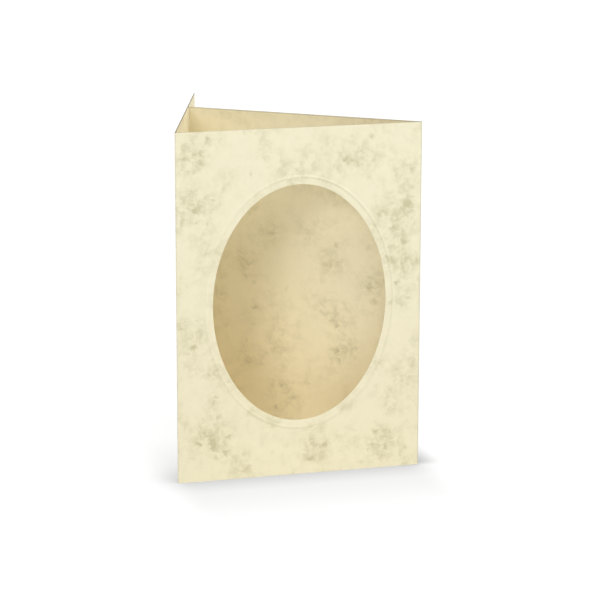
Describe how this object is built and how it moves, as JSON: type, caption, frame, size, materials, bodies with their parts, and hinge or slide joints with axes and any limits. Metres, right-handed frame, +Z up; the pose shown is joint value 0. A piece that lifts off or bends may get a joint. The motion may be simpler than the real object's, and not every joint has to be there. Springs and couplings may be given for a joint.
{
  "type": "passe-partout card",
  "caption": "Tri-fold greeting card of marbled ivory card stock, standing upright, with an oval window and an embossed line round it.",
  "frame": {"origin": "middle of the footprint's bounding rectangle, on the surface that the card stands on", "axes": "+Z up along the folds, +X along the front panel from its flap fold to its back fold, -Y out of the front panel"},
  "size_m": [0.12, 0.112, 0.169],
  "materials": {
    "marbled_card": "matt ivory card stock with cloudy olive-grey marbling on both faces"
  },
  "bodies": {
    "root": {"folded_card": "marbled_card"}
  },
  "joints": []
}
